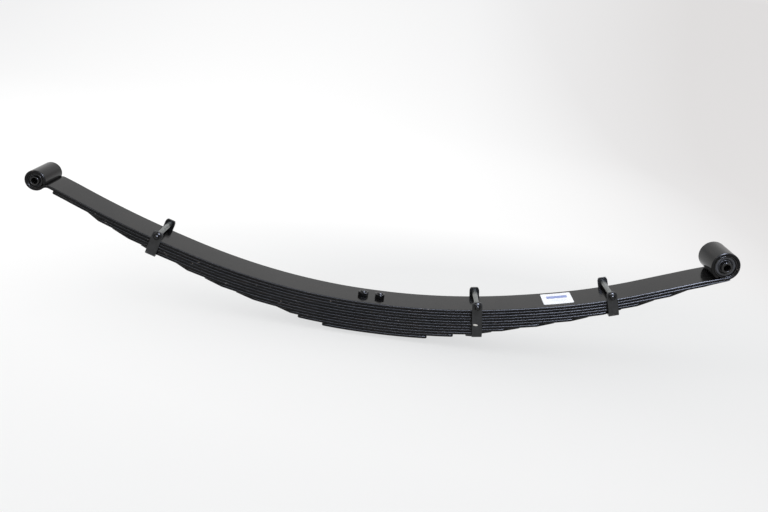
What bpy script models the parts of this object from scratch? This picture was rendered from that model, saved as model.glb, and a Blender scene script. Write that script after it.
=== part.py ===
"""Semi-elliptic leaf spring: eleven leaves, two centre bolts, three bolted clips and two bonded eye bushings.

The spring is built in metres with +Z up and +X towards the fixed front eye. The origin is on the axle seat, the
underside of the shortest leaf, midway between the two centre bolts. Every leaf follows the line of the main leaf's
top face at its own depth, and all leaves share the same facet stations so that they nest with an even gap.
"""

import math

import bmesh
import bpy
from mathutils import Matrix, Vector

MM = 0.001

# Leaves
LEAF_W = 76.2 * MM
LEAF_T = 5.9 * MM
LEAF_GAP = 0.3 * MM
LEAF_EDGE = 1.2 * MM
LEAF_COUNT = 11
PITCH = LEAF_T + LEAF_GAP
STACK = LEAF_COUNT * PITCH - LEAF_GAP

# Line of the main leaf's top face: lengths of run and their radii, outwards from the centre (0 is straight)
REAR_RUNS = ((375 * MM, 1335 * MM), (58 * MM, 3170 * MM), (207 * MM, 2000 * MM), (42 * MM, -880 * MM))
FRONT_RUNS = (
    (300 * MM, 1480 * MM), (80 * MM, 3200 * MM), (190 * MM, 1330 * MM), (100 * MM, 0.0), (67 * MM, -1150 * MM),
)
SEAT_HALF = 30 * MM
SEAT_STRIP = (-5.4 * MM, 6.2 * MM)
SEAT_RISE = 0.1 * MM
REAR_STEP = 50 * MM
FRONT_STEP = 54 * MM

# Eyes
FRONT_BORE_R = 23.9 * MM
FRONT_ROLL_DEG = 319.0
REAR_BORE_R = 14.9 * MM
REAR_BEND_R = 17.0 * MM
REAR_ROLL_END_DEG = 176.0
ROLL_STEPS = 24

# How far each graduated leaf reaches from the centre at its underside, and the half width its tip is trimmed to
LEAF_REACH = {
    3: (597 * MM, 646 * MM, 21 * MM, 26 * MM),
    4: (537 * MM, 583 * MM, 28 * MM, 28 * MM),
    5: (478 * MM, 520 * MM, 28 * MM, 28 * MM),
    6: (416 * MM, 456 * MM, 22 * MM, 28 * MM),
    7: (345.5 * MM, 388 * MM, 28 * MM, 27 * MM),
    8: (279 * MM, 318 * MM, 28 * MM, 28 * MM),
    9: (201 * MM, 261 * MM, 22 * MM, 28 * MM),
    10: (146 * MM, 181 * MM, 36.4 * MM, 36.4 * MM),
    11: (94 * MM, 127 * MM, 36.4 * MM, 36.4 * MM),
}
TRIM_LENGTH = 38 * MM
SQUARE_TRIM = 3 * MM
WRAP_REAR_X = 654 * MM
WRAP_DEG = 14.0
WRAP_TIP_T = 2.4 * MM
WRAP_TAPER = 46 * MM

# Centre bolts
BOLT_SPACING = 35 * MM
BOLT_R = 6.0 * MM
BOLT_HOLE_R = 6.6 * MM
BOLT_TOP = 11.0 * MM
BOLT_HEAD_R = 8.5 * MM
BOLT_HEAD_H = 8.0 * MM
NUT_FLATS = 19 * MM
NUT_H = 8.0 * MM
TOUCH = 0.3 * MM

# Clips: distance of each along the leaf from the centre, and the leaf each one is riveted to
CLIPS = {
    "rear": (-1, 452.7 * MM, 5, 0.0),
    "mid": (1, 221.7 * MM, 9, 12.5 * MM),
    "front": (1, 500.6 * MM, 5, 0.0),
}
STRAP_W = 21 * MM
STRAP_T = 5 * MM
STRAP_SIDE_GAP = 0.5 * MM
STRAP_BEND_R = 2.0 * MM
EAR_TOP = 9.3 * MM
EAR_BLUNT = 0.35
EAR_AXIS = 9.5 * MM
EAR_HOLE_R = 4.5 * MM
CLIP_BOLT_R = 4.0 * MM
CLIP_NUT_FLATS = 13 * MM
CLIP_NUT_H = 5.0 * MM
CLIP_FLANGE_R = 8.4 * MM
CLIP_FLANGE_T = 1.2 * MM
CLIP_HEAD_H = 5.3 * MM
CLIP_BOLT_TAIL = 1.6 * MM
SPACER_R = 5.1 * MM
SPACER_BORE_R = 4.3 * MM
RIVET_R = 3.6 * MM
RIVET_HOLE_R = 4.0 * MM
RIVET_HEAD_R = 6.5 * MM
RIVET_HEAD_H = 2.6 * MM

# Bushings: outer and inner radii of shell, rubber and sleeve
FRONT_BUSH = (23.4 * MM, 21.5 * MM, 21.2 * MM, 11.7 * MM, 11.4 * MM, 7.3 * MM)
REAR_BUSH = (14.4 * MM, 13.0 * MM, 12.7 * MM, 8.9 * MM, 8.6 * MM, 6.4 * MM)
SHELL_HALF = 37.2 * MM
RUBBER_HALF = 35.0 * MM
RUBBER_GROOVE = 3.0 * MM
SLEEVE_HALF = {"front": 44.0 * MM, "rear": 40.0 * MM}
BUSH_SEGMENTS = 24

# Label
LABEL_FROM = 362.5 * MM
LABEL_LENGTH = 63 * MM
LABEL_W = 54 * MM
LABEL_Y = 2 * MM
LABEL_T = 0.3 * MM
LABEL_LIFT = 0.25 * MM

FLAT_ANGLE = math.radians(38)


def clear_scene():
    """Start from an empty file."""
    for ob in list(bpy.data.objects):
        bpy.data.objects.remove(ob)


def material(name, colour, metallic, roughness):
    """A Principled BSDF material."""
    mat = bpy.data.materials.new(name)
    mat.use_nodes = True
    shader = mat.node_tree.nodes["Principled BSDF"]
    shader.inputs["Base Color"].default_value = (*colour, 1.0)
    shader.inputs["Metallic"].default_value = metallic
    shader.inputs["Roughness"].default_value = roughness
    return mat


def finish_mesh(name, bm, look, origin=(0.0, 0.0, 0.0)):
    """Turn a bmesh into a named object with outward faces, smooth except across real corners."""
    bmesh.ops.recalc_face_normals(bm, faces=bm.faces)
    for face in bm.faces:
        face.smooth = True
    for edge in bm.edges:
        edge.smooth = edge.calc_face_angle(0.0) < FLAT_ANGLE
    mesh = bpy.data.meshes.new(name)
    bm.to_mesh(mesh)
    bm.free()
    ob = bpy.data.objects.new(name, mesh)
    ob.location = origin
    ob.data.materials.append(material(name, *look))
    bpy.context.scene.collection.objects.link(ob)
    return ob


PAINT = ((0.018, 0.018, 0.02), 0.0, 0.3)
OXIDE = ((0.012, 0.012, 0.013), 0.3, 0.4)
STEEL = ((0.30, 0.30, 0.31), 0.8, 0.4)
RUBBER = ((0.015, 0.015, 0.015), 0.0, 0.7)
PAPER = ((0.80, 0.84, 0.88), 0.0, 0.5)


def top_line(side, s):
    """Point and slope of the main leaf's top face at distance s outwards from the centre."""
    x, z, a = 0.0, 0.0, 0.0
    for length, radius in (FRONT_RUNS if side > 0 else REAR_RUNS):
        d = min(s, length)
        if radius:
            b = a + d / radius
            x += radius * (math.sin(b) - math.sin(a))
            z += radius * (math.cos(a) - math.cos(b))
            a = b
        else:
            x += d * math.cos(a)
            z += d * math.sin(a)
        s -= d
        if s <= 0.0:
            break
    return x, z, a


def run_length(side):
    """Whole length of the main leaf's line on one side of the centre."""
    return sum(length for length, radius in (FRONT_RUNS if side > 0 else REAR_RUNS))


def curve_frame(side, s):
    """Top point and upward normal, as (x, z, nx, nz); the line leaves the level strip of the seat upwards."""
    x, z, a = top_line(side, s)
    level = top_line(side, SEAT_HALF)[1] - SEAT_RISE
    return x * side, STACK + z - level, -math.sin(a) * side, math.cos(a)


def seat_stations(half, top, bottom):
    """The two stations of the level strip between the centre bolts, from rear to front."""
    return [((x, STACK, 0.0, 1.0), half, top, bottom) for x in SEAT_STRIP]


def grid(side):
    """Stations where every leaf has its facet corners."""
    step = FRONT_STEP if side > 0 else REAR_STEP
    end = run_length(side)
    stations = []
    s = SEAT_HALF
    while s < end - 0.6 * step:
        stations.append(s)
        s += step
    return stations + [end]


GRID = {1: grid(1), -1: grid(-1)}


def facet_ends(side, s):
    """The two shared stations around s."""
    stations = GRID[side]
    for lower, upper in zip(stations, stations[1:]):
        if s <= upper:
            return lower, upper
    return stations[-2], stations[-1]


def facet_frame(side, s):
    """Frame on the facets, so that a station between corners lies on the same flat as its neighbours."""
    lower, upper = facet_ends(side, s)
    f = (s - lower) / (upper - lower)
    first = curve_frame(side, lower)
    second = curve_frame(side, upper)
    return tuple(a + (b - a) * f for a, b in zip(first, second))


def at_depth(frame, depth):
    """World x and z at a depth below the main leaf's top face."""
    x, z, nx, nz = frame
    return x - nx * depth, z - nz * depth


def distance_for(side, x, depth):
    """Distance along the top line at which a given depth reaches x."""
    low, high = SEAT_HALF, run_length(side)
    for _ in range(40):
        middle = 0.5 * (low + high)
        if abs(at_depth(facet_frame(side, middle), depth)[0]) < x:
            low = middle
        else:
            high = middle
    return 0.5 * (low + high)


def leaf_section(half, top, bottom):
    """Eight corners (y, depth) of a flat bar with broken edges."""
    e = min(LEAF_EDGE, 0.3 * (bottom - top))
    return [
        (-half + e, top), (half - e, top), (half, top + e), (half, bottom - e),
        (half - e, bottom), (-half + e, bottom), (-half, bottom - e), (-half, top + e),
    ]


def sweep(stations):
    """Closed bar through stations of (frame, half width, top depth, bottom depth)."""
    bm = bmesh.new()
    rings = []
    for frame, half, top, bottom in stations:
        ring = []
        for y, depth in leaf_section(half, top, bottom):
            x, z = at_depth(frame, depth)
            ring.append(bm.verts.new((x, y, z)))
        rings.append(ring)
    for ring, after in zip(rings, rings[1:]):
        for i in range(len(ring)):
            j = (i + 1) % len(ring)
            bm.faces.new((ring[i], ring[j], after[j], after[i]))
    bm.faces.new(rings[0])
    bm.faces.new(rings[-1])
    return bm


def side_stations(side, reach, top, bottom, tip_half, trim):
    """Stations outwards from the seat to a trimmed tip."""
    half = LEAF_W / 2
    cut = reach - trim
    stations = [(curve_frame(side, s), half, top, bottom) for s in GRID[side] if s < cut - 2 * MM]
    stations.append((facet_frame(side, cut), half, top, bottom))
    for s in GRID[side]:
        if cut + 2 * MM < s < reach - 2 * MM:
            width = half + (tip_half - half) * (s - cut) / trim
            stations.append((curve_frame(side, s), width, top, bottom))
    stations.append((facet_frame(side, reach), tip_half, top, bottom))
    return stations


def front_eye():
    """Centre of the front eye and the angle, from +X, at which the leaf runs into it."""
    x, z, nx, nz = curve_frame(1, run_length(1))
    return x + nx * FRONT_BORE_R, z + nz * FRONT_BORE_R, math.atan2(-nz, -nx)


def front_roll(count, degrees):
    """Frames round the front eye; the leaf's top face becomes the bore."""
    cx, cz, start = front_eye()
    frames = []
    for i in range(1, count + 1):
        a = start + math.radians(degrees) * i / count
        ux, uz = math.cos(a), math.sin(a)
        frames.append((cx + FRONT_BORE_R * ux, cz + FRONT_BORE_R * uz, -ux, -uz))
    return frames


def rear_eye():
    """Centre of the rear eye, on the mid line of the main leaf, with the unit vectors along and across it."""
    x, z, nx, nz = curve_frame(-1, run_length(-1))
    tx, tz = -nz, nx
    drop = LEAF_T / 2
    ahead = math.sqrt((REAR_BEND_R + REAR_BORE_R) ** 2 - (REAR_BEND_R - drop) ** 2)
    centre = (x + tx * ahead - nx * drop, z + tz * ahead - nz * drop)
    return centre, (tx, tz), (nx, nz), ahead


def rear_roll():
    """Frames through the dip before the rear eye and round its roll."""
    (cx, cz), (tx, tz), (nx, nz), ahead = rear_eye()
    drop = LEAF_T / 2
    span = REAR_BEND_R + REAR_BORE_R
    turn = math.atan2(ahead, REAR_BEND_R - drop)
    bx = cx - tx * ahead + nx * (drop - REAR_BEND_R)
    bz = cz - tz * ahead + nz * (drop - REAR_BEND_R)
    frames = []
    for i in range(1, 7):
        a = turn * i / 6
        ux = tx * math.sin(a) + nx * math.cos(a)
        uz = tz * math.sin(a) + nz * math.cos(a)
        frames.append((bx + REAR_BEND_R * ux, bz + REAR_BEND_R * uz, ux, uz))
    start = math.atan2(-(REAR_BEND_R - drop) / span, -ahead / span)
    end = math.radians(REAR_ROLL_END_DEG)
    for i in range(1, ROLL_STEPS + 1):
        a = start + (end - start) * i / ROLL_STEPS
        ux = tx * math.cos(a) + nx * math.sin(a)
        uz = tz * math.cos(a) + nz * math.sin(a)
        frames.append((cx + REAR_BORE_R * ux, cz + REAR_BORE_R * uz, -ux, -uz))
    return frames


def cylinder(bm, radius, start, end, segments=16, across=False, centre=(0.0, 0.0)):
    """Solid round along Z, or along Y when across, between two levels."""
    rings = []
    for level in (start, end):
        ring = []
        for i in range(segments):
            a = 2 * math.pi * (i + 0.5) / segments
            u, v = centre[0] + radius * math.cos(a), centre[1] + radius * math.sin(a)
            ring.append(bm.verts.new((u, level, v) if across else (u, v, level)))
        rings.append(ring)
    for i in range(segments):
        j = (i + 1) % segments
        bm.faces.new((rings[0][i], rings[0][j], rings[1][j], rings[1][i]))
    bm.faces.new(rings[0])
    bm.faces.new(rings[1])


def turned(profile, segments):
    """Closed solid turned about Z from (radius, level) points; a radius of zero is a point on the axis."""
    bm = bmesh.new()
    rings = []
    for radius, level in profile:
        if radius == 0.0:
            rings.append([bm.verts.new((0.0, 0.0, level))])
            continue
        ring = []
        for i in range(segments):
            a = 2 * math.pi * (i + 0.5) / segments
            ring.append(bm.verts.new((radius * math.cos(a), radius * math.sin(a), level)))
        rings.append(ring)
    closed = rings if profile[0][0] else rings[:-1]
    for k in range(len(closed)):
        first, second = rings[k], rings[(k + 1) % len(rings)]
        for i in range(segments):
            j = (i + 1) % segments
            corners = [first[i % len(first)], first[j % len(first)]]
            corners += [second[j % len(second)], second[i % len(second)]]
            bm.faces.new(list(dict.fromkeys(corners)))
    return bm


def across(bm):
    """Lay a solid turned about Z along +Y."""
    bmesh.ops.rotate(bm, verts=bm.verts, cent=(0, 0, 0), matrix=Matrix.Rotation(math.radians(-90), 3, "X"))
    return bm


def tube(outer, inner, half, segments):
    """Round tube about Z, centred."""
    return turned([(outer, -half), (outer, half), (inner, half), (inner, -half)], segments)


def hex_nut(flats, height, bore, segments=18, flange=0.0):
    """Hexagon nut about Z standing on zero, with its corners turned down at the top and, if asked, a round flange."""
    bm = bmesh.new()
    corner = flats / math.sqrt(3)
    base = CLIP_FLANGE_T if flange else 0.0
    levels = ((corner, base), (corner, height - 0.12 * flats), (flats / 2, height))
    hexes = []
    for level in (0.0, 0.7 * CLIP_FLANGE_T) if flange else ():
        ring = []
        for i in range(segments):
            a = 2 * math.pi * i / segments
            ring.append(bm.verts.new((flange * math.cos(a), flange * math.sin(a), level)))
        hexes.append(ring)
    for radius, level in levels:
        ring = []
        for i in range(segments):
            a = 2 * math.pi * i / segments
            reach = corner * math.cos(math.pi / 6) / math.cos((a % (math.pi / 3)) - math.pi / 6)
            ring.append(bm.verts.new((min(reach, radius) * math.cos(a), min(reach, radius) * math.sin(a), level)))
        hexes.append(ring)
    for level in (height, 0.0):
        ring = []
        for i in range(segments):
            a = 2 * math.pi * i / segments
            ring.append(bm.verts.new((bore * math.cos(a), bore * math.sin(a), level)))
        hexes.append(ring)
    for k in range(len(hexes)):
        first, second = hexes[k], hexes[(k + 1) % len(hexes)]
        for i in range(segments):
            j = (i + 1) % segments
            bm.faces.new((first[i], first[j], second[j], second[i]))
    return bm


def clip_frame(side, s):
    """Matrix at a clip: X along the leaf, Y across it and Z along its upward normal, on the top face."""
    lower, upper = facet_ends(side, s)
    x0, z0 = curve_frame(side, lower)[:2]
    x1, z1 = curve_frame(side, upper)[:2]
    f = (s - lower) / (upper - lower)
    along = Vector(((x1 - x0) * side, 0.0, (z1 - z0) * side)).normalized()
    up = Vector((-along.z, 0.0, along.x))
    frame = Matrix((along, (0.0, 1.0, 0.0), up)).transposed().to_4x4()
    frame.translation = Vector((x0 + (x1 - x0) * f, 0.0, z0 + (z1 - z0) * f))
    return frame


def strap_path(depth, tab):
    """Stations of a bent strap from ear to ear: middle (y, z), outward (y, z), rearward and forward half widths."""
    inner_y = LEAF_W / 2 + STRAP_SIDE_GAP
    inner_z = -depth - TOUCH
    half = STRAP_W / 2
    near = []
    for degrees in (80, 62, 40, 0):
        a = math.radians(degrees)
        near.append((EAR_AXIS + EAR_TOP * math.sin(a), half * math.cos(a) ** EAR_BLUNT))
    near.append((EAR_AXIS - EAR_TOP, half))
    side = [((-inner_y - STRAP_T / 2, z), (-1.0, 0.0), w, w) for z, w in near]
    bend = STRAP_BEND_R + STRAP_T / 2
    for i in range(5):
        a = math.radians(180 + 22.5 * i)
        oy, oz = math.cos(a), math.sin(a)
        middle = (-inner_y + STRAP_BEND_R + bend * oy, inner_z + STRAP_BEND_R + bend * oz)
        side.append((middle, (oy, oz), half, half))
    base = inner_z - STRAP_T / 2
    if tab:
        side.append(((-inner_y + 3.5 * MM, base), (0.0, -1.0), half, half))
        side.append(((-inner_y + 6.0 * MM, base), (0.0, -1.0), half + tab, half))
    mirrored = [((-y, z), (-oy, oz), w0, w1) for (y, z), (oy, oz), w0, w1 in reversed(side)]
    return side + mirrored


def strap(name, frame, depth, tab, cutter):
    """A clip strap bent from flat bar, with round ears and holes for its bolt and rivet."""
    bm = bmesh.new()
    rings = []
    for (y, z), (oy, oz), rearward, forward in strap_path(depth, tab):
        ring = []
        for sx, so in ((-rearward, 0.5), (forward, 0.5), (forward, -0.5), (-rearward, -0.5)):
            ring.append(bm.verts.new((sx, y + oy * so * STRAP_T, z + oz * so * STRAP_T)))
        rings.append(ring)
    for ring, after in zip(rings, rings[1:]):
        for i in range(4):
            j = (i + 1) % 4
            bm.faces.new((ring[i], ring[j], after[j], after[i]))
    bm.faces.new(rings[0])
    bm.faces.new(rings[-1])
    bm.transform(frame)
    cut(finish_mesh(name, bm, PAINT), cutter)


def hole_cutter():
    """One hidden object holding every round hole to be cut in the leaves and straps."""
    bm = bmesh.new()
    for x in (-BOLT_SPACING / 2, BOLT_SPACING / 2):
        cylinder(bm, BOLT_HOLE_R, -2 * MM, STACK + 2 * MM, centre=(x, 0.0))
    for side, s, leaf, tab in CLIPS.values():
        part = bmesh.new()
        floor = leaf * PITCH - LEAF_GAP
        cylinder(part, RIVET_HOLE_R, -floor - STRAP_T - 1.5 * MM, -floor + LEAF_T + 0.15 * MM)
        wide = LEAF_W / 2 + 10 * MM
        cylinder(part, EAR_HOLE_R, -wide, wide, across=True, centre=(0.0, EAR_AXIS))
        part.transform(clip_frame(side, s))
        mesh = bpy.data.meshes.new("hole")
        part.to_mesh(mesh)
        part.free()
        bm.from_mesh(mesh)
        bpy.data.meshes.remove(mesh)
    ob = finish_mesh("hole_cutter", bm, OXIDE)
    ob.hide_render = True
    ob.display_type = "WIRE"
    return ob


def cut(ob, cutter):
    """Cut the holes out of an object."""
    boolean = ob.modifiers.new("holes", "BOOLEAN")
    boolean.operation = "DIFFERENCE"
    boolean.solver = "EXACT"
    boolean.object = cutter


def build_leaves(cutter):
    """Main leaf with both eyes, the wrapper leaf and the nine graduated leaves."""
    half = LEAF_W / 2
    rear = [(curve_frame(-1, s), half, 0.0, LEAF_T) for s in GRID[-1]]
    rear += [(frame, half, 0.0, LEAF_T) for frame in rear_roll()]
    front = [(curve_frame(1, s), half, 0.0, LEAF_T) for s in GRID[1]]
    front += [(frame, half, 0.0, LEAF_T) for frame in front_roll(ROLL_STEPS, FRONT_ROLL_DEG)]
    middle = seat_stations(half, 0.0, LEAF_T)
    cut(finish_mesh("leaf_01_main", sweep(rear[::-1] + middle + front), PAINT), cutter)

    top, bottom = PITCH, PITCH + LEAF_T
    reach = distance_for(-1, WRAP_REAR_X, bottom)
    rear = side_stations(-1, reach, top, bottom, 36.4 * MM, SQUARE_TRIM)
    end = run_length(1)
    front = [(curve_frame(1, s), half, top, bottom) for s in GRID[1] if s < end - WRAP_TAPER]
    wrap_arc = math.radians(WRAP_DEG) * (FRONT_BORE_R + bottom)
    taper = WRAP_TAPER + wrap_arc
    front.append((facet_frame(1, end - WRAP_TAPER), half, top, bottom))
    drop = (LEAF_T - WRAP_TIP_T) * WRAP_TAPER / taper
    front.append((curve_frame(1, end), half, top, bottom - drop))
    wrap = front_roll(4, WRAP_DEG)
    for i, frame in enumerate(wrap):
        f = (WRAP_TAPER + wrap_arc * (i + 1) / len(wrap)) / taper
        front.append((frame, half, top, bottom - (LEAF_T - WRAP_TIP_T) * f))
    middle = seat_stations(half, top, bottom)
    cut(finish_mesh("leaf_02_wrapper", sweep(rear[::-1] + middle + front), PAINT), cutter)

    for leaf, (rear_x, front_x, rear_half, front_half) in LEAF_REACH.items():
        top = (leaf - 1) * PITCH
        bottom = top + LEAF_T
        trim = TRIM_LENGTH if leaf < 10 else SQUARE_TRIM
        rear = side_stations(-1, distance_for(-1, rear_x, bottom), top, bottom, rear_half, trim)
        front = side_stations(1, distance_for(1, front_x, bottom), top, bottom, front_half, trim)
        middle = seat_stations(half, top, bottom)
        cut(finish_mesh(f"leaf_{leaf:02d}", sweep(rear[::-1] + middle + front), PAINT), cutter)


def build_centre_bolts():
    """Two bolts with round locating heads under the pack and nuts on the main leaf."""
    chamfer = 1.0 * MM
    for name, x in (("rear", -BOLT_SPACING / 2), ("front", BOLT_SPACING / 2)):
        top = STACK + BOLT_TOP
        profile = [
            (0.0, -TOUCH - BOLT_HEAD_H), (BOLT_HEAD_R - chamfer, -TOUCH - BOLT_HEAD_H),
            (BOLT_HEAD_R, -TOUCH - BOLT_HEAD_H + chamfer), (BOLT_HEAD_R, -TOUCH), (BOLT_R, -TOUCH),
            (BOLT_R, top - chamfer), (BOLT_R - chamfer, top), (0.0, top),
        ]
        finish_mesh(f"centre_bolt_{name}", turned(profile, 16), OXIDE, (x, 0.0, 0.0))
        nut = hex_nut(NUT_FLATS, NUT_H, BOLT_R + TOUCH)
        finish_mesh(f"centre_nut_{name}", nut, OXIDE, (x, 0.0, STACK + TOUCH))


def build_clips(cutter):
    """Three clips: strap, rivet, bolt, nut and spacer tube each."""
    outer_y = LEAF_W / 2 + STRAP_SIDE_GAP + STRAP_T
    inner_y = LEAF_W / 2 + STRAP_SIDE_GAP
    for name, (side, s, leaf, tab) in CLIPS.items():
        frame = clip_frame(side, s)
        depth = leaf * PITCH - LEAF_GAP
        strap(f"clip_{name}_strap", frame, depth, tab, cutter)

        spin = frame @ Matrix.Translation((0.0, 0.0, EAR_AXIS))
        head = outer_y + TOUCH
        tail = -outer_y - TOUCH - CLIP_NUT_H - CLIP_BOLT_TAIL
        corner = CLIP_NUT_FLATS / math.sqrt(3)
        bolt = turned([
            (0.0, tail), (CLIP_BOLT_R - 0.6 * MM, tail), (CLIP_BOLT_R, tail + 0.6 * MM),
            (CLIP_BOLT_R, head), (corner, head), (corner, head + CLIP_HEAD_H - 0.8 * MM),
            (CLIP_NUT_FLATS / 2, head + CLIP_HEAD_H), (0.0, head + CLIP_HEAD_H),
        ], 12)
        for vert in bolt.verts:
            if vert.co.z > head - 0.1 * MM and vert.co.xy.length > CLIP_BOLT_R + MM:
                a = math.atan2(vert.co.y, vert.co.x) + math.radians(15)
                reach = CLIP_NUT_FLATS / 2 / math.cos((a % (math.pi / 3)) - math.pi / 6)
                reach = min(reach, vert.co.xy.length)
                vert.co.x, vert.co.y = reach * math.cos(a), reach * math.sin(a)
        across(bolt)
        bolt.transform(spin)
        finish_mesh(f"clip_{name}_bolt", bolt, OXIDE)

        nut = hex_nut(CLIP_NUT_FLATS, CLIP_NUT_H, CLIP_BOLT_R + TOUCH, 12, CLIP_FLANGE_R)
        bmesh.ops.rotate(nut, verts=nut.verts, cent=(0, 0, 0), matrix=Matrix.Rotation(math.radians(90), 3, "X"))
        nut.transform(spin @ Matrix.Translation((0.0, -outer_y - TOUCH, 0.0)))
        finish_mesh(f"clip_{name}_nut", nut, OXIDE)

        spacer = across(tube(SPACER_R, SPACER_BORE_R, inner_y - TOUCH, 16))
        spacer.transform(spin)
        finish_mesh(f"clip_{name}_spacer", spacer, STEEL)

        base = -depth - TOUCH - STRAP_T - TOUCH
        rivet = turned([
            (0.0, base - RIVET_HEAD_H), (0.55 * RIVET_HEAD_R, base - 0.85 * RIVET_HEAD_H),
            (RIVET_HEAD_R, base - 0.2 * RIVET_HEAD_H), (RIVET_HEAD_R, base), (RIVET_R, base),
            (RIVET_R, -depth + LEAF_T - 0.4 * MM), (0.0, -depth + LEAF_T - 0.4 * MM),
        ], 12)
        rivet.transform(frame)
        finish_mesh(f"clip_{name}_rivet", rivet, OXIDE)


def build_bushing(name, centre, radii):
    """Steel shell, rubber and inner sleeve of one eye; the sleeve turns about the eye's axis."""
    shell_out, shell_in, rubber_out, rubber_in, sleeve_out, sleeve_in = radii
    place = (centre[0], 0.0, centre[1])
    shell = across(tube(shell_out, shell_in, SHELL_HALF, BUSH_SEGMENTS))
    finish_mesh(f"{name}_bush_shell", shell, STEEL, place)
    step = rubber_in + 0.34 * (rubber_out - rubber_in)
    half, low = RUBBER_HALF, RUBBER_HALF - RUBBER_GROOVE
    rubber = across(turned([
        (rubber_out, -half), (rubber_out, half), (step, half), (step - MM, low), (rubber_in, low),
        (rubber_in, -low), (step - MM, -low), (step, -half),
    ], BUSH_SEGMENTS))
    finish_mesh(f"{name}_bush_rubber", rubber, RUBBER, place)
    sleeve = across(tube(sleeve_out, sleeve_in, SLEEVE_HALF[name], BUSH_SEGMENTS))
    finish_mesh(f"{name}_bush_sleeve", sleeve, STEEL, place)


def build_label():
    """A plain sticker on the main leaf between the two front clips."""
    bm = bmesh.new()
    inside = [s for s in GRID[1] if LABEL_FROM < s < LABEL_FROM + LABEL_LENGTH]
    rings = []
    for s in [LABEL_FROM, *inside, LABEL_FROM + LABEL_LENGTH]:
        frame = facet_frame(1, s)
        low = at_depth(frame, -LABEL_LIFT)
        high = at_depth(frame, -LABEL_LIFT - LABEL_T)
        ring = []
        for y, (x, z) in ((-1, low), (1, low), (1, high), (-1, high)):
            ring.append(bm.verts.new((x, LABEL_Y + y * LABEL_W / 2, z)))
        rings.append(ring)
    for ring, after in zip(rings, rings[1:]):
        for i in range(4):
            j = (i + 1) % 4
            bm.faces.new((ring[i], ring[j], after[j], after[i]))
    bm.faces.new(rings[0])
    bm.faces.new(rings[-1])
    finish_mesh("label", bm, PAPER)


def main():
    """Build the whole spring."""
    clear_scene()
    cutter = hole_cutter()
    build_leaves(cutter)
    build_centre_bolts()
    build_clips(cutter)
    build_bushing("front", front_eye()[:2], FRONT_BUSH)
    build_bushing("rear", rear_eye()[0], REAR_BUSH)
    build_label()


main()
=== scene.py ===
"""Finished looks of the leaf spring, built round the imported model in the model's own frame.

The frame is in metres, +Z up, +X to the front. Every CAD node is replaced by a smooth piece on the same
lines: the leaves follow the main leaf's curve at their own depth, and the clips, bolts and bushings are
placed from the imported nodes' boxes.
"""

import math

import bmesh
import bpy
from mathutils import Matrix, Vector


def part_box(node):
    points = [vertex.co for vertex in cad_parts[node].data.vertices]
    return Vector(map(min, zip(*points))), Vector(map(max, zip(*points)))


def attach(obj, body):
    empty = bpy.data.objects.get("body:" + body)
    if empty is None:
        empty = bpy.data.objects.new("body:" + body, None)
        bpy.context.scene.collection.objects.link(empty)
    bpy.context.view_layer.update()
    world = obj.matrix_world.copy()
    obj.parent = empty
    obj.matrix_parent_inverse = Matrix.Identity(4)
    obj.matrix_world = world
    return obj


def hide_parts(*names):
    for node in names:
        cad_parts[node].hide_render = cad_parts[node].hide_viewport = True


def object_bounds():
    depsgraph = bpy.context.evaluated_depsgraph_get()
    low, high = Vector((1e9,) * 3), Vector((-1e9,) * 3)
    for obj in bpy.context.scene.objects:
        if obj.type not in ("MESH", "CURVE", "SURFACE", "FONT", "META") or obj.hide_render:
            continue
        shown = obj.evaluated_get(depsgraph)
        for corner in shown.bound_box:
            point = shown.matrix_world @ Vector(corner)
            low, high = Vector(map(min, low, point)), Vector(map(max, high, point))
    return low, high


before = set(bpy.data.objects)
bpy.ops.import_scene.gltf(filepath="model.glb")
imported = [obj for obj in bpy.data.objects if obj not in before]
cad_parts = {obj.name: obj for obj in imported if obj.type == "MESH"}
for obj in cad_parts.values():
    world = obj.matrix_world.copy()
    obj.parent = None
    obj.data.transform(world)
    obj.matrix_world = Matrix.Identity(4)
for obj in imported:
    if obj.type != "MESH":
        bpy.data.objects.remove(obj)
cad_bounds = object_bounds()

MM = 0.001
PACK = "spring_pack"

# Leaf pack, as in the design. A run is the (length, radius) of one stretch of the main leaf's top line,
# outwards from the centre: a radius of 0 is straight, and a negative one bends down.
LEAF_W = 76.2 * MM
LEAF_T = 5.9 * MM
PITCH = 6.2 * MM
LEAF_COUNT = 11
STACK = LEAF_COUNT * PITCH - 0.3 * MM
REAR_RUNS = (
    (375 * MM, 1335 * MM), (58 * MM, 3170 * MM), (207 * MM, 2000 * MM), (42 * MM, -880 * MM),
)
FRONT_RUNS = (
    (300 * MM, 1480 * MM), (80 * MM, 3200 * MM), (190 * MM, 1330 * MM), (100 * MM, 0.0),
    (67 * MM, -1150 * MM),
)
SEAT_HALF = 30 * MM
SEAT_RISE = 0.1 * MM
FINE_STEP = 7 * MM
CORNER_R = 2.1 * MM
CORNER_STEPS = 5
SUPPORT = 0.35 * MM
END_R = 0.9 * MM
END_DEGREES = (0, 30, 60, 85)
HALVINGS = 40

# Half widths that the rear and front tips are trimmed to, by leaf
SQUARE_TIP_HALF = 36.4 * MM
TIP_HALF = {
    3: (21 * MM, 26 * MM), 4: (28 * MM, 28 * MM), 5: (28 * MM, 28 * MM), 6: (22 * MM, 28 * MM),
    7: (28 * MM, 27 * MM), 8: (28 * MM, 28 * MM), 9: (22 * MM, 28 * MM),
    10: (SQUARE_TIP_HALF, SQUARE_TIP_HALF), 11: (SQUARE_TIP_HALF, SQUARE_TIP_HALF),
}
TRIM_LENGTH = 38 * MM
SQUARE_TRIM = 3 * MM

# How far each leaf sits off the middle, in millimetres
SIDE_SLIP = (0.0, 0.25, -0.3, 0.2, -0.15, 0.3, -0.25, 0.1, -0.3, 0.2, -0.1)

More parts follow.
